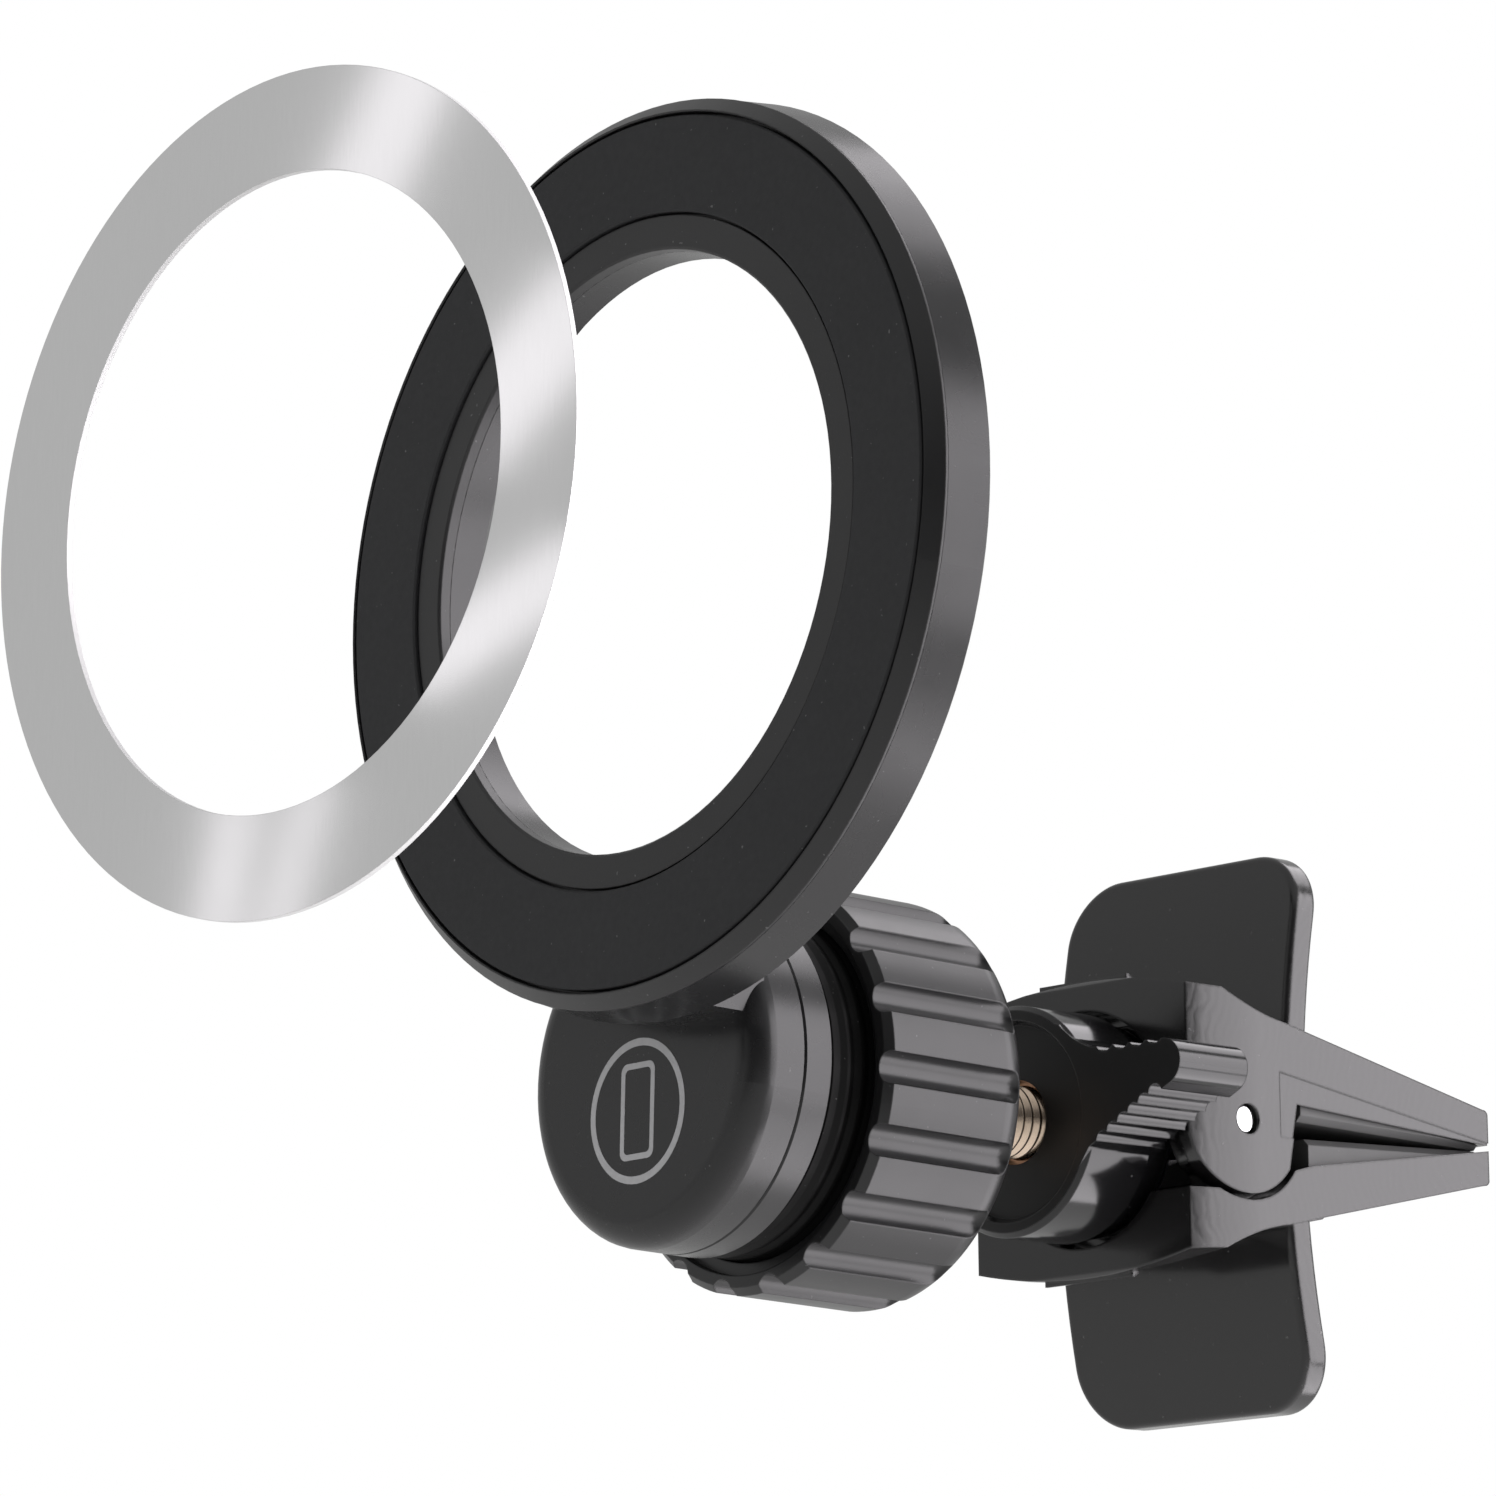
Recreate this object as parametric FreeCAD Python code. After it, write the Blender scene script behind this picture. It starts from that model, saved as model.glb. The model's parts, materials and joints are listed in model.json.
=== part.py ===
"""Magnetic car phone mount with a ball joint and a twist-to-clamp vent clip.

Every sub-part is modelled about the ball centre, with +Y towards the air vent, +X to the right and +Z up.
The clip parts are then shifted so that the origin lies between the jaw tips, where the vent blade is gripped.
The head parts are first turned about the ball centre to the tilt that they rest at.
All sizes are millimetres.
"""
import FreeCAD
import Part
import math
import os

V = FreeCAD.Vector
AXIS_X = V(1, 0, 0)
AXIS_Y = V(0, 1, 0)
AXIS_Z = V(0, 0, 1)
CENTRE = V(0, 0, 0)

# Driving dimensions
tips_from_ball = 52.1       # ball centre to the jaw tips
pin_y = 27.6                # hinge pin behind the ball centre
running_gap = 0.05          # radial clearance of turning fits
rest_yaw = -2.4             # head tilt at rest, about Z, X and the collar axis
rest_pitch = -2.3
rest_roll = 11.1

# Magnetic ring, measured from the ring's own centre and the face of its pad
ring_centre_z = 33.0
ring_face_y = -24.84
ring_outer_r = 30.0
ring_back_r = 30.4
ring_hole_r = 19.9
ring_depth = 4.6
bezel_depth = 1.2
bezel_bevel = 1.0
inner_band_r = 22.2
inner_band_drop = 0.25
pad_outer_r = 28.9
pad_groove = 0.14
pad_depth = 0.9
magnet_count = 18
magnet_inner_r = 22.8
magnet_outer_r = 28.0
magnet_front = 1.7
magnet_depth = 1.4
backing_depth = 0.6

# Round puck that joins the ring to the ball joint
puck_r = 11.7
puck_front_y = 7.3 + ring_face_y
puck_parting_y = 11.6 + ring_face_y
puck_rear_y = 14.3 + ring_face_y
puck_wall = 1.5
puck_shoulder = 1.9
neck_half_width = 9.6
neck_top_z = 10.6

# Ball joint
ball_r = 8.5
liner_inner_r = ball_r + running_gap
liner_outer_r = 9.1
seat_r = 9.2
socket_r = 11.3
socket_crest_r = 11.5
socket_pitch = 1.2
socket_end_y = 1.5
nut_bore_r = socket_crest_r + 0.1
nut_r = 13.8
nut_front_y = 16.9 + ring_face_y
nut_lip_y = 4.0
nut_rear_y = 4.8
nut_grooves = 18
nut_groove_r = 1.1
clamp_ring_gap = 0.05

# Screw and twist knob
screw_r = 2.5
screw_root_r = 2.2
screw_pitch = 0.8
screw_end_y = 25.6
stem_r = 3.0
stem_end_y = 9.5
knob_front_y = 15.7
knob_r = 7.95
knob_rear_r = 7.4
knob_rear_y = 24.0
knob_recess_r = 6.65
knob_floor_y = 16.4
knob_mouth_r = 2.9
insert_r = 3.5
insert_front_y = 17.0
knob_hollow_y = 20.2
knob_hollow_r = 4.9
tail_depth = 6.6
tail_end_x = 14.6
tail_end_z = 2.45
tail_end_r = 1.6
tail_foot = (7.6, -2.5)
wave_depth = 0.28
top_wave_r = 0.9
top_wave_pitch = 1.55
ridge_r = 0.62
ridge_pitch = 1.12
washer_r = 7.1
washer_hole_r = 5.0
washer_depth = 0.5

# Clip jaws
jaw_half_width = 11.2
collar_draw_in = 1.0        # how far each side is drawn in at the collars' front
draw_in_end_y = 28.6
collar_front_y = 22.65
collar_back_y = 25.2
collar_top_z = 10.25
collar_side_z = 9.1
collar_bore_r = 8.2
flange_y = 24.55
wing_y = 31.3
wing_bend_r = 77.0
wing_depth = 2.2
wing_half_width = 11.1
wing_corner_r = 4.5
upper_wing_top = 19.4
lower_wing_top = 19.4
tip_z = 2.58
root_y = 33.2
ear_r = 5.1
ear_inner_x = 9.3
knuckle_r = 4.4
knuckle_inner_x = 7.6
knuckle_outer_x = 9.05
recess_r = 5.55
pin_r = 1.0
pin_hole_r = pin_r + running_gap
pin_sunk = 0.35
core_half_width = 3.2
pad_half_width = 10.6
rib_half_width = 4.6
side_step = 0.12
spring_wire_r = 0.35
spring_coil_r = 1.72

# Steel plate that sticks to the phone, shown lifted off the pad
plate_outer_r = 27.1
plate_inner_r = 20.45
plate_depth = 0.4
plate_gap = 0.05            # left under the plate when it is on the pad
plate_lift = 27.45          # from the pad to where it floats
plate_drop = 1.1
plate_swing = 4.63          # degrees out of parallel while it floats


def outline_face(points, place):
    """Flat face from a closed run of points; a pair of points is an arc's middle and end."""
    edges = []
    start = place(*points[0])
    for point in points[1:] + [points[0]]:
        if isinstance(point[0], tuple):
            middle, end = place(*point[0]), place(*point[1])
            edges.append(Part.Arc(start, middle, end).toShape())
        else:
            end = place(*point)
            edges.append(Part.makeLine(start, end))
        start = end
    return Part.Face(Part.Wire(edges))


def turned(profile, angle=360):
    """Solid turned about the Y axis from (radius, y) points."""
    face = outline_face(profile, lambda radius, y: V(radius, y, 0))
    return face.revolve(CENTRE, AXIS_Y, angle)


def rod(radius, y0, y1, x=0, z=0):
    """Round bar along Y."""
    return Part.makeCylinder(radius, y1 - y0, V(x, y0, z), AXIS_Y)


def cross_rod(radius, x0, x1, y=pin_y, z=0):
    """Round bar along X."""
    return Part.makeCylinder(radius, x1 - x0, V(x0, y, z), AXIS_X)


def block(x0, x1, y0, y1, z0, z1):
    return Part.makeBox(x1 - x0, y1 - y0, z1 - z0, V(x0, y0, z0))


def side_plate(points, x0, x1):
    """Plate between x0 and x1 from a (y, z) outline."""
    return outline_face(points, lambda y, z: V(x0, y, z)).extrude(V(x1 - x0, 0, 0))


def front_plate(points, y0, y1):
    """Plate between y0 and y1 from an (x, z) outline."""
    return outline_face(points, lambda x, z: V(x, y0, z)).extrude(V(0, y1 - y0, 0))


def corner(centre, radius, first, last):
    """Middle and end of an arc about a centre, from the first to the last angle in degrees."""
    middle = math.radians((first + last) / 2)
    end = math.radians(last)
    return ((centre[0] + radius * math.cos(middle), centre[1] + radius * math.sin(middle)),
            (centre[0] + radius * math.cos(end), centre[1] + radius * math.sin(end)))


def both_sides(shape):
    """The shape and its mirror image across the YZ plane, joined."""
    return shape.fuse(shape.mirror(CENTRE, AXIS_X))


def flipped(shape):
    """Mirror image across the XY plane."""
    return shape.mirror(CENTRE, AXIS_Z)


def at_ring(shape):
    """Moves a shape from the ring's own axis and face to its place above the ball."""
    return shape.translated(V(0, ring_face_y, ring_centre_z))


def thread(root_r, crest_r, pitch, y0, y1):
    """Ridged bar standing for a screw thread."""
    profile = [(0, y0), (root_r, y0)]
    ridges = int((y1 - y0) / pitch)
    for ridge in range(ridges):
        foot = y0 + ridge * pitch
        profile += [(crest_r, foot + 0.4 * pitch), (crest_r, foot + 0.6 * pitch), (root_r, foot + pitch)]
    profile += [(root_r, y1), (0, y1)]
    if abs(y0 + ridges * pitch - y1) < 1e-6:
        profile.remove((root_r, y1))
    return turned(profile)


# Magnetic ring

def make_ring_bezel():
    rim_r = pad_outer_r + 0.05
    band_r = inner_band_r - 0.05
    floor_y = pad_depth
    lip_y = bezel_depth + 0.4
    return at_ring(turned([
        (ring_hole_r, inner_band_drop + 0.15), (ring_hole_r + 0.15, inner_band_drop),
        (band_r, inner_band_drop), (band_r, floor_y), (rim_r, floor_y), (rim_r, 0.1), (rim_r + 0.1, 0),
        (ring_outer_r, bezel_bevel), (ring_outer_r, bezel_depth), (ring_outer_r - 1.3, bezel_depth),
        (ring_outer_r - 1.3, lip_y), (ring_hole_r + 1.6, lip_y), (ring_hole_r + 1.6, bezel_depth),
        (ring_hole_r, bezel_depth)]))


def make_contact_pad():
    outer = pad_outer_r - pad_groove
    inner = inner_band_r + pad_groove
    edge = 0.12
    return at_ring(turned([
        (inner, edge), (inner + edge, 0), (outer - edge, 0),
        (outer, edge), (outer, pad_depth), (inner, pad_depth)]))


def make_ring_magnets():
    span = 360.0 / magnet_count
    gap = 1.2
    magnets = []
    for index in range(magnet_count):
        magnet = turned([
            (magnet_inner_r, magnet_front), (magnet_outer_r, magnet_front),
            (magnet_outer_r, magnet_front + magnet_depth), (magnet_inner_r, magnet_front + magnet_depth)],
            span - gap)
        magnet.rotate(CENTRE, AXIS_Y, index * span + gap / 2)
        magnets.append(at_ring(magnet))
    return Part.makeCompound(magnets)


def make_backing_ring():
    front = magnet_front + magnet_depth
    back = front + backing_depth
    inner = magnet_inner_r - 0.3
    outer = magnet_outer_r + 0.3
    return at_ring(turned([(inner, front), (outer, front), (outer, back), (inner, back)]))


def make_head_frame():
    """Ring tray, neck and front half of the puck, moulded as one piece."""
    floor_y = magnet_front + magnet_depth + backing_depth + 0.05
    joint_y = bezel_depth + 0.02
    tray = at_ring(turned([
        (ring_outer_r, joint_y), (ring_back_r, ring_depth - 0.3), (ring_back_r - 0.3, ring_depth),
        (ring_hole_r + 1.0, ring_depth), (ring_hole_r, ring_depth - 1.0), (ring_hole_r, joint_y),
        (ring_hole_r + 1.5, joint_y), (ring_hole_r + 1.5, floor_y), (ring_outer_r - 1.2, floor_y),
        (ring_outer_r - 1.2, joint_y)]))
    shoulder = corner((puck_r - puck_shoulder, puck_front_y + puck_shoulder), puck_shoulder, -90, 0)
    cap = turned([
        (0, puck_front_y), (puck_r - puck_shoulder, puck_front_y), shoulder, (puck_r, puck_parting_y - 0.12),
        (puck_r - 0.12, puck_parting_y), (puck_r - puck_wall, puck_parting_y),
        (puck_r - puck_wall, puck_front_y + puck_wall + 0.9),
        (puck_r - puck_wall - 0.9, puck_front_y + puck_wall),
        (0, puck_front_y + puck_wall)])
    neck_front = ring_face_y + ring_depth - 0.6
    neck_back = puck_front_y + puck_wall
    neck = block(-neck_half_width, neck_half_width, neck_front, neck_back, 0, neck_top_z)
    neck = neck.common(rod(ring_back_r - 0.3, neck_front, neck_back, z=ring_centre_z))
    return tray.fuse([cap, neck]).removeSplitter()


def screw_places():
    for index in range(3):
        angle = math.radians(90 + 120 * index)
        yield 7.0 * math.cos(angle), 7.0 * math.sin(angle)


def screw_holes(y0):
    """Clearance for the screws' shanks through the rear shell and into the socket's base."""
    holes = [rod(0.95, y0 - 0.1, puck_rear_y + 2.6, x, z) for x, z in screw_places()]
    return Part.makeCompound(holes)


def make_puck_rear_shell():
    lip_r = puck_r - puck_wall - 0.05
    floor_y = puck_rear_y - 1.5
    return turned([
        (0, floor_y), (lip_r - 0.9, floor_y), (lip_r - 0.9, puck_parting_y - 0.6),
        (lip_r, puck_parting_y - 0.6), (lip_r, puck_parting_y + 0.02), (puck_r - 0.12, puck_parting_y + 0.02),
        (puck_r, puck_parting_y + 0.14), (puck_r, puck_rear_y - 0.5), (puck_r - 0.5, puck_rear_y),
        (0, puck_rear_y)]).cut(screw_holes(floor_y))


def make_housing_screws():
    screws = []
    for x, z in screw_places():
        head = rod(1.6, puck_rear_y - 2.5, puck_rear_y - 1.5, x, z)
        shank = rod(0.9, puck_rear_y - 1.5, puck_rear_y + 2.4, x, z)
        slot = block(x - 0.2, x + 0.2, puck_rear_y - 2.6, puck_rear_y - 2.0, z - 1.2, z + 1.2)
        cross = block(x - 1.2, x + 1.2, puck_rear_y - 2.6, puck_rear_y - 2.0, z - 0.2, z + 0.2)
        screws.append(head.fuse(shank).cut(slot.fuse(cross)))
    return Part.makeCompound(screws)


# Ball joint

def sphere(radius, y=0):
    return Part.makeSphere(radius, V(0, y, 0))


def shell_zone(first_angle, last_angle):
    """Part of a thin spherical shell, between two angles measured from the +Y axis."""
    def point(radius, degrees):
        angle = math.radians(degrees)
        return radius * math.sin(angle), radius * math.cos(angle)
    middle = (first_angle + last_angle) / 2
    return turned([
        point(liner_inner_r, first_angle), (point(liner_inner_r, middle), point(liner_inner_r, last_angle)),
        point(liner_outer_r, last_angle), (point(liner_outer_r, middle), point(liner_outer_r, first_angle))])


def make_ball_seat_rear():
    return shell_zone(68, 92)


def make_ball_seat_front():
    return shell_zone(120, 179.9).fuse(rod(0.2, -liner_outer_r + 0.1, -liner_inner_r - 0.1)).removeSplitter()


def make_ball_socket():
    """Threaded cup that holds the ball, split into four fingers."""
    base = rod(socket_r, puck_rear_y, puck_rear_y + 0.8)
    ridges = thread(socket_r, socket_crest_r, socket_pitch, puck_rear_y + 0.6, socket_end_y - 0.3)
    mouth = rod(socket_r, socket_end_y - 0.4, socket_end_y)
    cup = base.fuse([ridges, mouth]).cut(sphere(seat_r)).cut(rod(seat_r, 0, socket_end_y + 1))
    slot = block(-0.6, 0.6, -3.5, socket_end_y + 1, -socket_crest_r - 1, socket_crest_r + 1)
    for turn in (45, 135):
        finger_gap = slot.copy()
        finger_gap.rotate(CENTRE, AXIS_Y, turn)
        cup = cup.cut(finger_gap)
    return cup.cut(screw_holes(puck_rear_y))


def make_clamp_ring():
    front = socket_end_y + 0.3
    back = nut_lip_y - clamp_ring_gap
    ring = rod(socket_r, front, back).cut(sphere(seat_r))
    return ring.cut(rod(7.9, front, back))


def make_lock_nut():
    dome = corner((nut_r - 2.4, nut_rear_y - 2.4), 2.4, 0, 90)
    body = turned([
        (nut_bore_r + 0.9, nut_front_y + 0.7), (nut_bore_r + 0.9, nut_front_y), (nut_r - 0.5, nut_front_y),
        (nut_r, nut_front_y + 0.5), (nut_r, nut_rear_y - 2.4), dome, (7.0, nut_rear_y), (7.0, nut_lip_y),
        (nut_bore_r, nut_lip_y), (nut_bore_r, nut_front_y + 0.7)]).cut(sphere(seat_r))
    groove_end = nut_rear_y - 1.6
    groove = rod(nut_groove_r, nut_front_y - 1, groove_end, x=nut_r + 0.1)
    groove = groove.fuse(sphere(nut_groove_r, groove_end).translated(V(nut_r + 0.1, 0, 0)))
    grooves = []
    for index in range(nut_grooves):
        cutter = groove.copy()
        cutter.rotate(CENTRE, AXIS_Y, (index + 0.5) * 360.0 / nut_grooves)
        grooves.append(cutter)
    return body.cut(Part.makeCompound(grooves))


def make_ball():
    stem = rod(stem_r, 6, stem_end_y)
    return sphere(ball_r).fuse(stem).cut(rod(screw_r, 1.5, stem_end_y + 1))


def make_lead_screw():
    shank = rod(screw_r, 1.5, stem_end_y)
    return shank.fuse(thread(screw_root_r, screw_r, screw_pitch, stem_end_y, screw_end_y)).removeSplitter()


# Twist knob

def tail_outline():
    """Lever beside the barrel, seen along Y, before its grip waves are cut."""
    tip = (tail_end_x, tail_end_z)
    return [
        (0, 7.2), (4.9, 6.1), ((6.2, 5.0), (7.9, 4.2)), (tail_end_x, tail_end_z + tail_end_r),
        corner(tip, tail_end_r, 90, -62), tail_foot, (5.5, -5.2), (0, -7.0)]


def make_twist_knob():
    barrel = turned([
        (0, knob_floor_y), (knob_recess_r, knob_floor_y), (knob_recess_r, knob_front_y + 0.35),
        (knob_recess_r + 0.3, knob_front_y), (knob_r - 0.35, knob_front_y), (knob_r, knob_front_y + 0.35),
        (knob_r, 21.6), (knob_rear_r, 22.2), (knob_rear_r, knob_rear_y), (knob_hollow_r, knob_rear_y),
        (knob_hollow_r, knob_hollow_y), (0, knob_hollow_y)])
    tail = front_plate(tail_outline(), knob_front_y, knob_front_y + tail_depth)
    tail = tail.cut(rod(knob_recess_r + 0.6, knob_front_y - 1, 24))
    top_z = tail_end_z + tail_end_r
    cutters = [rod(top_wave_r, knob_front_y - 1, 24, x=9.2 + index * top_wave_pitch,
                   z=top_z + top_wave_r - wave_depth) for index in range(4)]
    for index in range(6):
        along = 1.3 + index * ridge_pitch
        outside = ridge_r - wave_depth
        cutters.append(rod(ridge_r, knob_front_y - 1, 24, x=tail_foot[0] + along * 0.88 + 0.47 * outside,
                           z=tail_foot[1] + along * 0.47 - 0.88 * outside))
    tail = tail.cut(Part.makeCompound(cutters))
    pocket = rod(insert_r, insert_front_y, knob_hollow_y + 1).fuse(rod(knob_mouth_r, knob_floor_y - 1, 18))
    return barrel.fuse(tail).cut(pocket).removeSplitter()


def make_knob_insert():
    bush = rod(insert_r, insert_front_y, knob_hollow_y - 0.1)
    return bush.cut(rod(screw_r + running_gap, knob_floor_y - 1, knob_hollow_y + 1))


def make_thrust_washer():
    ring = rod(washer_r, knob_rear_y, knob_rear_y + washer_depth)
    return ring.cut(rod(washer_hole_r, knob_rear_y - 1, knob_rear_y + 2))


# Vent clip

def make_clip_core():
    """Block on the hinge pin that anchors the screw."""
    boss = rod(4.4, 21.2, 23.85)
    neck = rod(2.8, 23.8, 25.8)
    body = cross_rod(2.4, -core_half_width, core_half_width)
    core = boss.fuse([neck, body, block(-core_half_width, core_half_width, 25.2, pin_y, -2.4, 2.4)])
    core = core.cut(cross_rod(pin_r, -core_half_width - 1, core_half_width + 1))
    return core.cut(rod(screw_r, 20, screw_end_y)).removeSplitter()


def make_hinge_pin():
    reach = jaw_half_width - pin_sunk
    pin = cross_rod(pin_r, -reach, reach)
    rims = [edge for edge in pin.Edges if edge.BoundBox.XLength < 0.01]
    return pin.makeChamfer(0.15, rims)


def make_torsion_springs():
    """A coil each side of the core, with legs that press the blades apart."""
    coil_start = core_half_width + 0.3
    turns = 4
    pitch = 2 * spring_wire_r + 0.06
    springs = []
    for side in (1, -1):
        coils = []
        for turn in range(turns):
            x = coil_start + spring_wire_r + turn * pitch
            coils.append(Part.makeTorus(spring_coil_r, spring_wire_r, V(side * x, pin_y, 0), AXIS_X))
        link = Part.makeCylinder(0.2, (turns - 1) * pitch,
                                 V(side * (coil_start + spring_wire_r), pin_y, spring_coil_r), V(side, 0, 0))
        first_x = side * (coil_start + spring_wire_r)
        last_x = side * (coil_start + spring_wire_r + (turns - 1) * pitch)
        upper_leg = Part.makeCylinder(spring_wire_r, 5.0, V(first_x, pin_y, spring_coil_r), V(0, 0.96, 0.28))
        lower_leg = Part.makeCylinder(spring_wire_r, 5.0, V(last_x, pin_y, -spring_coil_r), V(0, 0.96, -0.28))
        springs.append(coils[0].fuse(coils[1:] + [link, upper_leg, lower_leg]))
    return Part.makeCompound(springs)


def jaw_outline():
    """Upper jaw seen from the side: crown, blade and the lobe round the pin."""
    tip_r = 0.5
    slope = (tip_z - 6.95) / (tips_from_ball - 31.5)
    return [
        (collar_front_y, 0), (collar_front_y, collar_top_z - 0.3),
        (collar_front_y + 0.3, collar_top_z), (23.4, collar_top_z),
        ((27.0, 8.2), (31.5, 6.95)), (tips_from_ball - tip_r, tip_z - slope * tip_r),
        ((tips_from_ball - 0.15 * tip_r, tip_z - 0.15 * tip_r), (tips_from_ball, tip_z - tip_r)),
        (tips_from_ball, 0.2), (32.6, 1.42)]


def lobe_outline():
    return [(pin_y - ear_r, 0), corner((pin_y, 0), ear_r, 180, 322), (32.6, 1.42), (31.0, 4.0), (22.9, 4.0)]


def crown():
    """Round top of the collars, as a long bar along Y."""
    rise = collar_top_z - collar_side_z
    reach = jaw_half_width - collar_draw_in
    radius = (reach ** 2 + rise ** 2) / (2 * rise)
    return rod(radius, 20, tips_from_ball + 1, z=collar_top_z - radius)


def jaw_plan():
    """Tall block with the jaws' plan outline, its sides drawn in towards the collars by gentle arcs."""
    reach, front_reach = jaw_half_width, jaw_half_width - collar_draw_in
    arc_mid = (jaw_half_width - collar_draw_in / 4, (collar_front_y + draw_in_end_y) / 2)
    right_arc = (arc_mid, (reach, draw_in_end_y))
    left_arc = ((-arc_mid[0], arc_mid[1]), (-front_reach, collar_front_y))
    plan = [(reach, tips_from_ball), (-reach, tips_from_ball), (-reach, draw_in_end_y), left_arc,
            (front_reach, collar_front_y), right_arc]
    return outline_face(plan, lambda x, y: V(x, y, -25)).extrude(V(0, 0, 50))


def make_wing(top):
    """Bowed plate that stands on the vent's face."""
    reach = wing_half_width
    inner = wing_corner_r
    plate = front_plate([
        (-reach, 4.5), (reach, 4.5), (reach, top - inner), corner((reach - inner, top - inner), inner, 0, 90),
        (-reach + inner, top), corner((-reach + inner, top - inner), inner, 90, 180)], 28, 40)
    centre_y = wing_y + wing_bend_r
    bend = cross_rod(wing_bend_r, -20, 20, centre_y)
    hollow = cross_rod(wing_bend_r - wing_depth, -21, 21, centre_y)
    wing = plate.common(bend.cut(hollow))
    rims = [edge for edge in wing.Edges
            if edge.BoundBox.ZMax > 7 and edge.BoundBox.ZLength + edge.BoundBox.XLength > 2.5]
    return wing.makeFillet(0.45, rims)


def make_grip_ribs():
    """Raised patch with fine ribs on the collar's outside; it fades into the jaw behind."""
    limit = side_plate([(collar_front_y + 0.5, 4), (collar_front_y + 0.5, collar_top_z + 0.2),
                        (23.4, collar_top_z + 0.2), ((27.0, 8.35), (31.5, 6.95)), (31.5, 4)], -4.2, 4.2)
    ribs = [block(-5, 5, 24.2 + index * 0.8, 24.5 + index * 0.8, 8.0, 12) for index in range(5)]
    return limit.cut(Part.makeCompound(ribs))


def make_blade_rib():
    """Low raised strip along the middle of a blade's outside."""
    return side_plate([(33.0, 5.0), (33.0, 7.0), (41.9, 5.15), (42.6, 4.6), (42.6, 4.0)], -rib_half_width,
                      rib_half_width)


def side_steps():
    """Thin slices taken off a jaw's sides below its step line."""
    step_line = [(30.8, 3.52), (tips_from_ball + 1, 0.2)]
    slice_outline = step_line + [(tips_from_ball + 1, -1), (30.8, -1)]
    return both_sides(side_plate(slice_outline, jaw_half_width - side_step, jaw_half_width + 1))


def hinge_hollow():
    """Space inside a jaw for the core, the springs and the other jaw's ears."""
    outline = [(collar_back_y, -12), (collar_back_y, 6.4), (root_y, 3.5), (root_y, -12)]
    return side_plate(outline, -ear_inner_x, ear_inner_x)


def make_jaw_shell(ears, wing_top):
    """Jaw with its collar, blade and wing; the ears are added before the pin hole is drilled."""
    body = side_plate(jaw_outline(), -jaw_half_width, jaw_half_width)
    body = body.common(crown()).common(jaw_plan())
    body = body.fuse([make_wing(wing_top), make_grip_ribs(), make_blade_rib()])
    body = body.cut(hinge_hollow())
    body = body.cut(rod(collar_bore_r, 20, collar_back_y + 0.01))
    flange = block(-6.6, 6.6, flange_y, flange_y + 1.4, 3.6, 7.1)
    body = body.fuse([flange] + ears)
    return body.cut(cross_rod(pin_hole_r, -jaw_half_width - 1, jaw_half_width + 1)).removeSplitter()


def make_upper_jaw():
    ear = side_plate(lobe_outline(), ear_inner_x, jaw_half_width).common(jaw_plan())
    knuckle_room = both_sides(cross_rod(knuckle_r + 0.3, knuckle_inner_x - 0.2, ear_inner_x))
    return make_jaw_shell([both_sides(ear)], upper_wing_top).cut(knuckle_room.fuse(side_steps()))


def make_lower_jaw():
    recess = both_sides(cross_rod(recess_r, knuckle_outer_x, jaw_half_width + 1))
    front_notch = block(-14, 14, 20, pin_y, -1, 4.9)
    rear_notch = side_plate([(pin_y, -1), (pin_y, 4.5), (32.5, 3.1), (33.9, 2.74), (tips_from_ball, 0.2),
                             (tips_from_ball, -1)], -14, 14)
    shell = make_jaw_shell([], lower_wing_top)
    shell = shell.cut(front_notch.fuse([rear_notch, recess]))
    ear = cross_rod(knuckle_r, knuckle_inner_x, knuckle_outer_x)
    stem = block(knuckle_inner_x, knuckle_outer_x, pin_y - 2.2, root_y + 0.5, 2.0, 5.2)
    bridge = block(knuckle_inner_x, jaw_half_width - 1, 27.8, root_y + 0.5, 5.7, 6.4)
    knuckle = both_sides(ear.fuse([stem, bridge]))
    jaw = shell.fuse(knuckle).cut(cross_rod(pin_hole_r, -12, 12))
    return flipped(jaw.removeSplitter())


def make_upper_jaw_pad():
    edge = 0.45
    end = tips_from_ball - 0.4
    pad = side_plate([(33.4, 0.38), (33.4, 1.9), (end, 0.5), (end, -0.1)], -pad_half_width, pad_half_width)
    return pad.makeChamfer(edge, [e for e in pad.Edges if e.BoundBox.XLength < 0.01 and e.BoundBox.ZMax < 0.5
                                  and e.BoundBox.YLength > 5])


def make_lower_jaw_pad():
    edge = 0.45
    end = tips_from_ball - 0.4
    outline = [(34.1, -0.76), (34.1, -3.4), (end, -0.6), (end, -0.16)]
    pad = side_plate(outline, -pad_half_width, pad_half_width)
    return pad.makeChamfer(edge, [e for e in pad.Edges if e.BoundBox.XLength < 0.01 and e.BoundBox.ZMin > -0.8
                                  and e.BoundBox.YLength > 5])


def plate_pole():
    """Far axis about which one small turn carries the plate from where it floats to the pad."""
    seat = V(0, -plate_gap - plate_depth, 0)
    path = V(0, plate_lift, plate_drop)
    reach = path.Length / 2 / math.tan(math.radians(plate_swing / 2))
    axis = V(0, -plate_drop, plate_lift).normalize()
    return seat - path * 0.5 + path.normalize().cross(axis) * reach, axis


def make_steel_plate():
    front = -plate_gap - plate_depth
    plate = turned([(plate_inner_r, front), (plate_outer_r, front), (plate_outer_r, -plate_gap),
                    (plate_inner_r, -plate_gap)])
    pole, axis = plate_pole()
    plate.rotate(pole, axis, plate_swing)
    return at_ring(plate)


def placed_head(shape):
    """Turns a head part about the ball centre to its rest tilt, then moves it to the row's frame."""
    shape = shape.copy()
    shape.rotate(CENTRE, AXIS_Y, rest_roll)
    shape.rotate(CENTRE, AXIS_X, rest_pitch)
    shape.rotate(CENTRE, AXIS_Z, rest_yaw)
    return placed_clip(shape)


def placed_clip(shape):
    return shape.translated(V(0, -tips_from_ball, 0))


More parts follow.
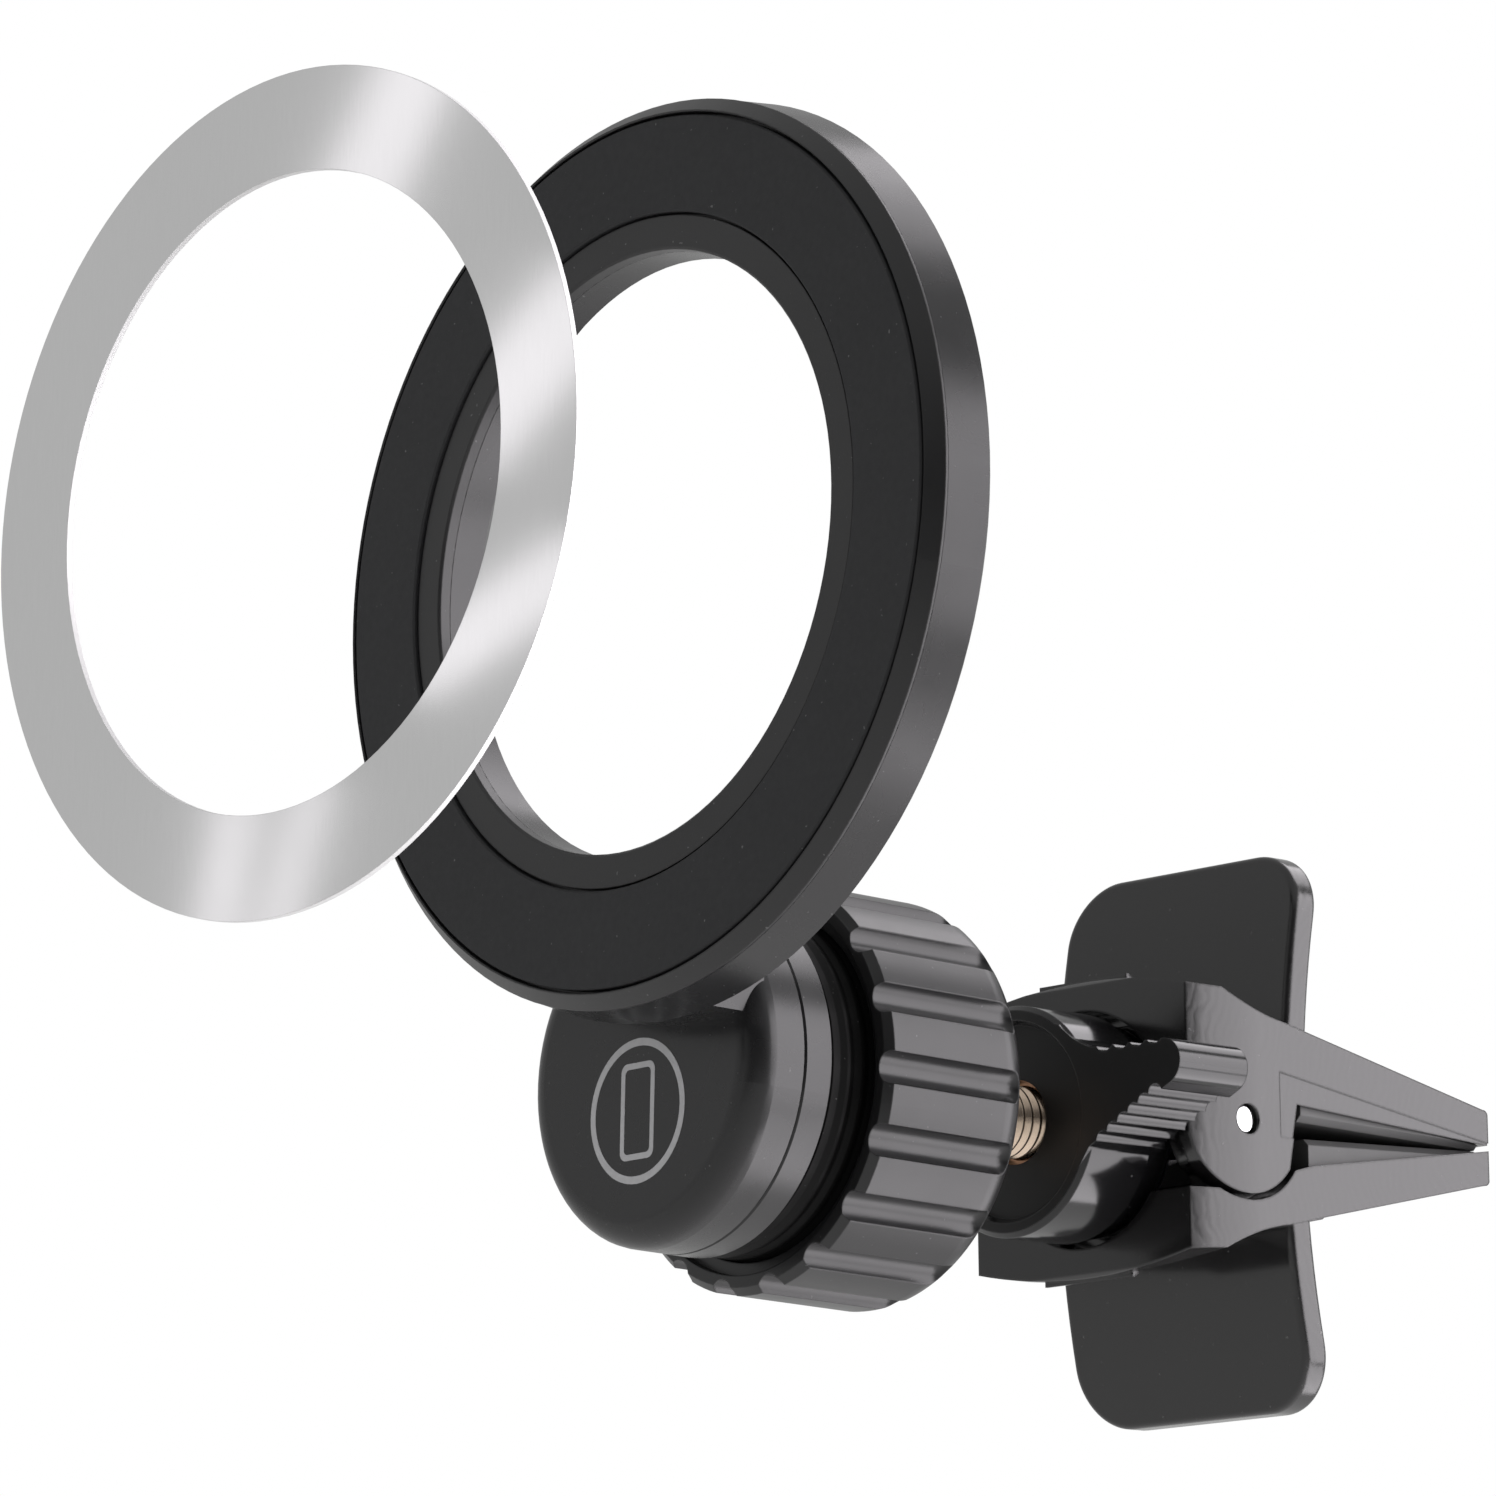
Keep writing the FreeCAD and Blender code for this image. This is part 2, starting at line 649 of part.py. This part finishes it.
def main():
    """Builds every part and writes one STEP file for each."""
    os.makedirs("parts", exist_ok=True)
    upper_jaw, lower_jaw = make_upper_jaw(), make_lower_jaw()
    upper_pad, lower_pad = make_upper_jaw_pad(), make_lower_jaw_pad()
    head = {
        "ring_bezel": make_ring_bezel(),
        "contact_pad": make_contact_pad(),
        "ring_magnets": make_ring_magnets(),
        "backing_ring": make_backing_ring(),
        "head_frame": make_head_frame(),
        "puck_rear_shell": make_puck_rear_shell(),
        "housing_screws": make_housing_screws(),
        "ball_socket": make_ball_socket(),
        "ball_seat_front": make_ball_seat_front(),
        "ball_seat_rear": make_ball_seat_rear(),
        "clamp_ring": make_clamp_ring(),
        "lock_nut": make_lock_nut(),
        "steel_plate": make_steel_plate(),
    }
    clip = {
        "ball": make_ball(),
        "lead_screw": make_lead_screw(),
        "twist_knob": make_twist_knob(),
        "knob_insert": make_knob_insert(),
        "thrust_washer": make_thrust_washer(),
        "clip_core": make_clip_core(),
        "hinge_pin": make_hinge_pin(),
        "torsion_springs": make_torsion_springs(),
        "upper_jaw": upper_jaw.cut(upper_pad),
        "lower_jaw": lower_jaw.cut(lower_pad),
        "upper_jaw_pad": upper_pad,
        "lower_jaw_pad": lower_pad,
    }
    for name, shape in head.items():
        placed_head(shape).exportStep(f"parts/{name}.step")
    for name, shape in clip.items():
        placed_clip(shape).exportStep(f"parts/{name}.step")


main()
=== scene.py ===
"""Looks for the magnetic car phone mount: materials, a printed mark, light and camera round the CAD frame."""
import json
import math

import bpy
from mathutils import Matrix, Vector


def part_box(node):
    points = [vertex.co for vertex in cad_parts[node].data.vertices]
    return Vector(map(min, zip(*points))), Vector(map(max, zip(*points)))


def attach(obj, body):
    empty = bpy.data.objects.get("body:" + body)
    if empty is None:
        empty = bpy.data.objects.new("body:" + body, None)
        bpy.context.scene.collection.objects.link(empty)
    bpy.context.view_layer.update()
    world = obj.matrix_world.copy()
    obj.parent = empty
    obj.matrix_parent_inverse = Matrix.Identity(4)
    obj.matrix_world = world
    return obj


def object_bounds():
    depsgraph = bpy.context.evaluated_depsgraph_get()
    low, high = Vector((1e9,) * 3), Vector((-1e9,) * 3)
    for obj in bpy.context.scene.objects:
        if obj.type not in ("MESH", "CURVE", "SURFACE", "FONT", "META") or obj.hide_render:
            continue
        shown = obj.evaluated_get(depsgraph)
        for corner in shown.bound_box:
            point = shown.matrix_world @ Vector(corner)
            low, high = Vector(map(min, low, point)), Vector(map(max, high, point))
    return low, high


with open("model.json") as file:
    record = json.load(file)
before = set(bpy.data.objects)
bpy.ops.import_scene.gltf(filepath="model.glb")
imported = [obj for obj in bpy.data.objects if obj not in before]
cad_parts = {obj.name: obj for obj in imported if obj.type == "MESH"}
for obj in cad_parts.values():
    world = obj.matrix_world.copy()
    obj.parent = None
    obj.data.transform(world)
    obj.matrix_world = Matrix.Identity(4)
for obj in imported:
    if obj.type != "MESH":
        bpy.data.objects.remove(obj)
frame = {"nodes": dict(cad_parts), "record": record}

CAD_BOX = [list(corner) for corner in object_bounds()]
MM = 0.001

# Camera: from the lower right, with a long lens; angles in degrees
CAMERA_PLACE = Vector((346.751, -382.224, -67.853)) * MM
CAMERA_AZIMUTH = 47.12
CAMERA_ELEVATION = -10.867
CAMERA_ROLL = -0.656
CAMERA_LENS = 174.4

# Studio: even light from all round, weaker in a cone on the camera's side, whose half angles are in degrees
STUDIO_MIDDLE = Vector((0.0, -60.0, 10.0)) * MM
ROUND_LIGHT = 0.55
CAMERA_SIDE_LIGHT = 0.06
DARK_CONE_INNER = 28
DARK_CONE_OUTER = 55
LIGHT_TINT = (1.0, 0.96, 1.0)

# Soft boxes: offset from the studio's middle, width and height in metres, radiance
SOFTBOXES = {
    "right_softbox": ((0.75, 0.68, 0.12), 1.0, 0.95, 3.7),
    "low_softbox": ((0.45, 0.62, -0.55), 0.8, 0.5, 3.4),
    "back_softbox": ((0.0, 0.65, 0.75), 0.6, 0.5, 2.4),
}

FLOOR_DROP = 800 * MM
FLOOR_REACH = 12.0
FLOOR_GLOW = 0.2

# Streaks of light on the steel ring as the camera sees them: right of its centre, above it, slant in degrees,
# width and length, with sizes in mm
STREAKS = (
    (7.4, 23.5, 66, 4.8, 14),
    (15.7, 7.8, 50, 5.4, 14),
    (13.7, -7.8, 35, 4.0, 14),
    (-3.3, -23.9, 80, 2.6, 12),
    (1.0, -23.6, 75, 2.2, 12),
)
STREAK_DISTANCE = 0.7
STREAK_RADIANCE = 0.7

# Printed mark on the puck, in mm: how far its centre lies below the puck's, the ring and the phone's outline
MARK_DROP = 2.8
MARK_RING = (4.8, 4.3)
PHONE_OUTER = (1.7, 3.2, 0.6)
PHONE_INNER = (1.3, 2.8, 0.35)
MARK_THICKNESS = 0.02
MARK_LIFT = 0.01

DUST_COLOUR = (0.20, 0.20, 0.20)


# Node helpers

class Nodes:
    """A material's node tree with short calls for the nodes used here."""

    def __init__(self, name):
        self.material = bpy.data.materials.new(name)
        self.material.use_nodes = True
        self.tree = self.material.node_tree
        self.shader = self.tree.nodes["Principled BSDF"]
        self.place = self.add("ShaderNodeTexCoord").outputs["Object"]

    def add(self, kind, **settings):
        node = self.tree.nodes.new(kind)
        for key, value in settings.items():
            setattr(node, key, value)
        return node

    def link(self, output, socket):
        self.tree.links.new(output, socket)

    def noise(self, size_mm, detail=3.0, stretch=(1, 1, 1), distortion=0.0):
        """Noise whose features are about size_mm across, drawn out by stretch."""
        mapping = self.add("ShaderNodeMapping")
        mapping.inputs["Scale"].default_value = [1 / part for part in stretch]
        self.link(self.place, mapping.inputs["Vector"])
        noise = self.add("ShaderNodeTexNoise")
        noise.inputs["Scale"].default_value = 1 / (size_mm * MM)
        noise.inputs["Detail"].default_value = detail
        noise.inputs["Distortion"].default_value = distortion
        self.link(mapping.outputs["Vector"], noise.inputs["Vector"])
        return noise.outputs["Fac"]

    def spread(self, value, low, high, from_low=0.0, from_high=1.0):
        node = self.add("ShaderNodeMapRange")
        node.inputs["From Min"].default_value = from_low
        node.inputs["From Max"].default_value = from_high
        node.inputs["To Min"].default_value = low
        node.inputs["To Max"].default_value = high
        self.link(value, node.inputs["Value"])
        return node.outputs["Result"]

    def mix_colour(self, factor, first, second):
        node = self.add("ShaderNodeMix", data_type="RGBA")
        self.link(factor, node.inputs["Factor"])
        for socket, value in ((node.inputs["A"], first), (node.inputs["B"], second)):
            if isinstance(value, tuple):
                socket.default_value = (*value, 1)
            else:
                self.link(value, socket)
        return node.outputs["Result"]

    def sum(self, first, second, operation="ADD"):
        node = self.add("ShaderNodeMath", operation=operation)
        for socket, value in zip(node.inputs, (first, second)):
            if isinstance(value, (int, float)):
                socket.default_value = value
            else:
                self.link(value, socket)
        return node.outputs["Value"]

    def bump(self, height, depth_mm, strength=1.0, after=None):
        node = self.add("ShaderNodeBump")
        node.inputs["Distance"].default_value = depth_mm * MM
        node.inputs["Strength"].default_value = strength
        self.link(height, node.inputs["Height"])
        if after is not None:
            self.link(after, node.inputs["Normal"])
        return node.outputs["Normal"]

    def facing(self, axis):
        """How far the surface faces along an axis of the object, -1 to 1."""
        split = self.add("ShaderNodeSeparateXYZ")
        self.link(self.add("ShaderNodeTexCoord").outputs["Normal"], split.inputs["Vector"])
        return split.outputs[axis]

    def soft_edges(self, radius_mm):
        """Normal that rounds off sharp edges a little."""
        node = self.add("ShaderNodeBevel", samples=4)
        node.inputs["Radius"].default_value = radius_mm * MM
        return node.outputs["Normal"]

    def finish(self, colour, roughness, normal=None, **values):
        for socket, value in (("Base Color", colour), ("Roughness", roughness)):
            self.link(value, self.shader.inputs[socket])
        if normal is not None:
            self.link(normal, self.shader.inputs["Normal"])
        for socket, value in values.items():
            self.shader.inputs[socket.replace("_", " ")].default_value = value
        return self.material


def dust(nodes, amount):
    """Sparse pale specks, 0 to 1."""
    return nodes.spread(nodes.noise(0.35, 1.0), 0.0, amount, 0.76, 0.82)


def moulded_plastic(name, colour, gloss, grain_mm, grain_depth_mm, edge_mm=0.15, specular=0.5):
    """Black moulded plastic: slow gloss changes, fine grain, a little dust."""
    nodes = Nodes(name)
    light = tuple(min(1.0, part * 1.5 + 0.002) for part in colour)
    body = nodes.mix_colour(nodes.noise(9.0, 4.0), colour, light)
    specks = dust(nodes, 0.5)
    body = nodes.mix_colour(specks, body, DUST_COLOUR)
    roughness = nodes.spread(nodes.noise(3.5, 5.0, distortion=0.6), gloss - 0.04, gloss + 0.06)
    roughness = nodes.sum(roughness, nodes.spread(specks, 0.0, 0.4))
    edges = nodes.soft_edges(edge_mm)
    slow = nodes.bump(nodes.noise(5.0, 2.0), 0.02, 0.25, edges)
    fine = nodes.bump(nodes.noise(grain_mm, 3.0), grain_depth_mm, 0.6, slow)
    return nodes.finish(body, roughness, fine, IOR=1.5, Specular_IOR_Level=specular)


def jaw_plastic():
    """Glossy black with faint swirl marks on its sides, as left by polishing."""
    nodes = Nodes("jaw_black")
    body = nodes.mix_colour(nodes.noise(9.0, 4.0), (0.008, 0.0077, 0.008), (0.012, 0.0115, 0.012))
    body = nodes.mix_colour(dust(nodes, 0.4), body, DUST_COLOUR)
    wave = nodes.add("ShaderNodeTexWave", wave_type="RINGS", rings_direction="X")
    wave.inputs["Scale"].default_value = 450
    wave.inputs["Distortion"].default_value = 9
    wave.inputs["Detail"].default_value = 3
    nodes.link(nodes.place, wave.inputs["Vector"])
    sideways = nodes.facing("X")
    side = nodes.sum(sideways, sideways, "MULTIPLY")
    swirl = nodes.sum(wave.outputs["Fac"], side, "MULTIPLY")
    roughness = nodes.sum(nodes.spread(swirl, 0.12, 0.22), nodes.spread(nodes.noise(3.0, 4.0), 0.0, 0.05))
    scratched = nodes.bump(swirl, 0.0034, 0.6, nodes.soft_edges(0.25))
    fine = nodes.bump(nodes.noise(0.3, 3.0), 0.001, 0.5, scratched)
    return nodes.finish(body, roughness, fine, IOR=1.58)


def knob_plastic():
    """Glossy black, but dull on the faces towards the phone."""
    nodes = Nodes("knob_black")
    body = nodes.mix_colour(nodes.noise(7.0, 4.0), (0.004, 0.004, 0.0045), (0.008, 0.008, 0.0085))
    body = nodes.mix_colour(dust(nodes, 0.5), body, DUST_COLOUR)
    front = nodes.spread(nodes.facing("Y"), 0.34, 0.0, -1.0, -0.8)
    roughness = nodes.sum(nodes.spread(nodes.noise(3.0, 4.0), 0.09, 0.15), front)
    fine = nodes.bump(nodes.noise(0.4, 3.0), 0.002, 0.5, nodes.soft_edges(0.18))
    return nodes.finish(body, roughness, fine, IOR=1.5)


def soft_pad():
    """Soft matt rubber with a very fine grain."""
    nodes = Nodes("soft_pad")
    body = nodes.mix_colour(nodes.noise(6.0, 5.0), (0.017, 0.0175, 0.019), (0.021, 0.0215, 0.023))
    body = nodes.mix_colour(dust(nodes, 0.6), body, (0.16, 0.16, 0.16))
    roughness = nodes.spread(nodes.noise(0.5, 4.0), 0.6, 0.75)
    fine = nodes.bump(nodes.noise(0.12, 4.0), 0.012, 0.6, nodes.soft_edges(0.12))
    return nodes.finish(body, roughness, fine, IOR=1.45)


def metal(name, colour, gloss):
    """Plain metal with a fine grain."""
    nodes = Nodes(name)
    dark = tuple(part * 0.86 for part in colour)
    grain = nodes.noise(0.25, 5.0)
    body = nodes.mix_colour(grain, dark, colour)
    roughness = nodes.spread(nodes.noise(2.5, 5.0), gloss - 0.04, gloss + 0.06)
    fine = nodes.bump(grain, 0.003, 0.5, nodes.soft_edges(0.08))
    return nodes.finish(body, roughness, fine, Metallic=1.0)


def plate_metal():
    """Thin bright sheet: fine rolling grain, nearly even, with dull cut edges."""
    nodes = Nodes("plate_steel")
    grain = nodes.noise(0.12, 4.0, (1, 1, 14))
    body = nodes.mix_colour(grain, (0.74, 0.74, 0.74), (0.78, 0.78, 0.78))
    frontways = nodes.facing("Y")
    flat = nodes.sum(frontways, frontways, "MULTIPLY")
    dull = nodes.spread(flat, 0.6, 0.0, 0.0, 0.8)
    roughness = nodes.sum(nodes.spread(nodes.noise(8.0, 2.0), 0.05, 0.065), dull)
    fine = nodes.bump(grain, 0.0003, 0.3, nodes.soft_edges(0.05))
    return nodes.finish(body, roughness, fine, Metallic=1.0)


def dress_frame():
    """Gives every CAD node its material."""
    puck = moulded_plastic("puck_black", (0.009, 0.009, 0.0095), 0.26, 0.16, 0.002, edge_mm=0.01)
    satin = moulded_plastic("satin_black", (0.009, 0.009, 0.0095), 0.3, 0.16, 0.006)
    frame_plastic = moulded_plastic("frame_black", (0.009, 0.009, 0.0095), 0.34, 0.14, 0.008)
    rubber = moulded_plastic("jaw_rubber", (0.05, 0.05, 0.05), 0.5, 0.12, 0.01)
    nylon = moulded_plastic("nylon", (0.02, 0.02, 0.02), 0.42, 0.2, 0.006)
    pad = soft_pad()
    plate = plate_metal()
    jaws = jaw_plastic()
    knob = knob_plastic()
    # Black plastic of the ball socket, made darker and far less shiny than the other black parts: painted
    # shade for its threads, which lie in shadow
    socket_painted_shade = moulded_plastic("socket_painted_shade_black", (0.002, 0.002, 0.002), 0.5, 0.2, 0.004, specular=0.12)
    bright = metal("bright_steel", (0.93, 0.93, 0.94), 0.12)
    spring = metal("spring_steel", (0.5, 0.5, 0.52), 0.3)
    bronze = metal("bronze", (0.72, 0.40, 0.24), 0.28)
    screw = metal("screw_metal", (0.80, 0.64, 0.50), 0.22)
    chosen = {
        "ring_bezel": frame_plastic, "head_frame": puck, "puck_rear_shell": puck,
        "contact_pad": pad, "ring_magnets": bright, "backing_ring": spring, "housing_screws": spring,
        "ball_socket": socket_painted_shade, "ball_seat_front": nylon, "ball_seat_rear": nylon, "clamp_ring": nylon,
        "lock_nut": satin, "steel_plate": plate, "ball": satin, "lead_screw": screw, "twist_knob": knob,
        "knob_insert": bronze, "thrust_washer": spring, "clip_core": satin, "hinge_pin": bright,
        "torsion_springs": spring, "upper_jaw": jaws, "lower_jaw": jaws, "upper_jaw_pad": rubber,
        "lower_jaw_pad": rubber,
    }
    for node, material in chosen.items():
        mesh = frame["nodes"][node].data
        mesh.materials.clear()
        mesh.materials.append(material)


def add_area(name, place, facing, upright, width, height, radiance):
    """Soft box of even radiance at a place, its face towards a point and its height along a direction."""
    light = bpy.data.lights.new(name, "AREA")
    light.shape = "RECTANGLE"
    light.size, light.size_y = width, height
    light.energy = radiance * math.pi * width * height
    light.color = LIGHT_TINT
    back = (place - facing).normalized()
    side = upright.cross(back).normalized()
    lamp = bpy.data.objects.new(name, light)
    lamp.rotation_mode = "QUATERNION"
    lamp.rotation_quaternion = Matrix((side, back.cross(side), back)).transposed().to_quaternion()
    lamp.location = place
    bpy.context.scene.collection.objects.link(lamp)


def add_softboxes():
    up = Vector((0, 0, 1))
    for name, (offset, width, height, radiance) in SOFTBOXES.items():
        add_area(name, STUDIO_MIDDLE + Vector(offset), STUDIO_MIDDLE, up, width, height, radiance)


def plate_normal():
    """Direction the steel ring's front faces."""
    front = [face for face in frame["nodes"]["steel_plate"].data.polygons if face.normal.y < -0.9]
    return sum((face.normal * face.area for face in front), Vector()).normalized()


def add_streak_lights():
    """Strip lights placed where the flat steel ring mirrors them towards the camera."""
    lowest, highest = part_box("steel_plate")
    centre = (lowest + highest) / 2
    normal = plate_normal()
    view = bpy.context.scene.camera.rotation_quaternion.to_matrix()
    growth = 1 + STREAK_DISTANCE / (centre - CAMERA_PLACE).length
    for index, (right, above, slant, width, length) in enumerate(STREAKS):
        spot = centre + view @ Vector((right, above, 0)) * MM
        along = view @ Vector((math.cos(math.radians(slant)), math.sin(math.radians(slant)), 0))
        ray = (spot - CAMERA_PLACE).normalized()
        spot += ray * (centre - spot).dot(normal) / ray.dot(normal)
        place = spot + ray.reflect(normal) * STREAK_DISTANCE
        add_area(f"streak_{index}", place, spot, along.reflect(normal),
                 width * growth * MM, length * growth * MM, STREAK_RADIANCE)


def add_world():
    """Even white light with a dark cone on the camera's side; seen directly, the background is white."""
    world = bpy.data.worlds.new("studio")
    bpy.context.scene.world = world
    world.use_nodes = True
    tree = world.node_tree
    soft = tree.nodes["Background"]
    soft.inputs["Color"].default_value = (1, 1, 1, 1)
    aside = tree.nodes.new("ShaderNodeVectorMath")
    aside.operation = "DOT_PRODUCT"
    aside.inputs[1].default_value = (CAMERA_PLACE - STUDIO_MIDDLE).normalized()
    tree.links.new(tree.nodes.new("ShaderNodeTexCoord").outputs["Generated"], aside.inputs[0])
    fade = tree.nodes.new("ShaderNodeMapRange")
    fade.interpolation_type = "SMOOTHSTEP"
    fade.inputs["From Min"].default_value = math.cos(math.radians(DARK_CONE_OUTER))
    fade.inputs["From Max"].default_value = math.cos(math.radians(DARK_CONE_INNER))
    fade.inputs["To Min"].default_value = ROUND_LIGHT
    fade.inputs["To Max"].default_value = CAMERA_SIDE_LIGHT
    tree.links.new(aside.outputs["Value"], fade.inputs["Value"])
    tree.links.new(fade.outputs["Result"], soft.inputs["Strength"])
    seen = tree.nodes.new("ShaderNodeBackground")
    seen.inputs["Color"].default_value = (1, 1, 1, 1)
    seen.inputs["Strength"].default_value = 1.0
    rays = tree.nodes.new("ShaderNodeLightPath")
    mix = tree.nodes.new("ShaderNodeMixShader")
    tree.links.new(rays.outputs["Is Camera Ray"], mix.inputs["Fac"])
    tree.links.new(soft.outputs["Background"], mix.inputs[1])
    tree.links.new(seen.outputs["Background"], mix.inputs[2])
    tree.links.new(mix.outputs["Shader"], tree.nodes["World Output"].inputs["Surface"])
    bpy.context.scene.view_settings.view_transform = "Standard"


def add_floor():
    nodes = Nodes("pale_floor")
    colour = nodes.mix_colour(nodes.noise(60.0, 2.0), (0.86, 0.86, 0.85), (0.89, 0.89, 0.88))
    nodes.finish(colour, nodes.spread(nodes.noise(25.0), 0.6, 0.7), Emission_Strength=FLOOR_GLOW)
    height = CAD_BOX[0][2] - FLOOR_DROP
    corners = [(right * FLOOR_REACH, back * FLOOR_REACH, height)
               for right, back in ((-1, -1), (1, -1), (1, 1), (-1, 1))]
    mesh = bpy.data.meshes.new("floor")
    mesh.from_pydata(corners, [], [(0, 1, 2, 3)])
    mesh.materials.append(nodes.material)
    floor = bpy.data.objects.new("floor", mesh)
    bpy.context.scene.collection.objects.link(floor)


def add_camera():
    data = bpy.data.cameras.new("camera")
    data.lens = CAMERA_LENS
    data.sensor_width = 36
    data.clip_start = 0.01
    camera = bpy.data.objects.new("camera", data)
    azimuth, elevation = math.radians(CAMERA_AZIMUTH), math.radians(CAMERA_ELEVATION)
    back = Vector((math.sin(azimuth) * math.cos(elevation), -math.cos(azimuth) * math.cos(elevation),
                   math.sin(elevation)))
    turn = (-back).to_track_quat("-Z", "Y").to_matrix() @ Matrix.Rotation(math.radians(CAMERA_ROLL), 3, "Z")
    camera.location = CAMERA_PLACE
    camera.rotation_mode = "QUATERNION"
    camera.rotation_quaternion = turn.to_quaternion()
    bpy.context.scene.collection.objects.link(camera)
    bpy.context.scene.camera = camera


def ring_frame(outer, inner):
    """Points and faces of a flat frame between two closed outlines with the same number of points."""
    count = len(outer)
    pairs = [(index, (index + 1) % count) for index in range(count)]
    return outer + inner, [(here, after, count + after, count + here) for here, after in pairs]


def rounded_outline(half_width, half_height, radius, steps=8):
    """Closed outline of a rectangle with round corners; equal sizes and radius give a circle."""
    points = []
    for corner, (right, top) in enumerate(((1, 1), (-1, 1), (-1, -1), (1, -1))):
        for step in range(steps):
            angle = math.radians(90 * (corner + step / (steps - 1)))
            points.append((right * (half_width - radius) + radius * math.cos(angle),
                           top * (half_height - radius) + radius * math.sin(angle)))
    return points


def add_puck_mark():
    """Plain printed sign on the puck, a phone on a ring, in place of the maker's own."""
    joint = next(joint for joint in frame["record"]["behaviour"]["joints"] if joint["name"] == "head_roll")
    ball, back = Vector(joint["pos_m"]), Vector(joint["axis"]).normalized()
    head = frame["nodes"]["head_frame"]
    points = [head.matrix_world @ vertex.co - ball for vertex in head.data.vertices]
    puck = [point for point in points if (point - back * point.dot(back)).length < 10 * MM]
    face = min(point.dot(back) for point in puck if point.z < -4 * MM) - MARK_LIFT * MM
    right = Vector((1, 0, 0))
    right = (right - back * right.dot(back)).normalized()
    up = right.cross(back)
    middle = ball + back * face - up * MARK_DROP * MM
    circles = [rounded_outline(radius, radius, radius, 16) for radius in MARK_RING]
    shapes = [
        ring_frame(*circles),
        ring_frame(rounded_outline(*PHONE_OUTER), rounded_outline(*PHONE_INNER)),
    ]
    vertices, faces = [], []
    for outline, quads in shapes:
        start = len(vertices)
        vertices += [middle + (right * x + up * z) * MM for x, z in outline]
        faces += [tuple(start + index for index in quad) for quad in quads]
    mesh = bpy.data.meshes.new("puck_mark")
    mesh.from_pydata(vertices, [], faces)
    mark = bpy.data.objects.new("puck_mark", mesh)
    bpy.context.scene.collection.objects.link(mark)
    thickness = mark.modifiers.new("print", "SOLIDIFY")
    thickness.thickness = MARK_THICKNESS * MM
    thickness.offset = 0.0
    mesh.materials.append(print_ink())
    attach(mark, "head")


def print_ink():
    """Pale grey ink, a little worn."""
    nodes = Nodes("print_ink")
    body = nodes.mix_colour(nodes.noise(0.5, 5.0), (0.42, 0.42, 0.43), (0.56, 0.56, 0.57))
    roughness = nodes.spread(nodes.noise(0.8, 4.0), 0.35, 0.5)
    return nodes.finish(body, roughness, nodes.bump(nodes.noise(0.1), 0.003))


add_camera()
add_world()
add_softboxes()
add_streak_lights()
add_floor()
dress_frame()
add_puck_mark()
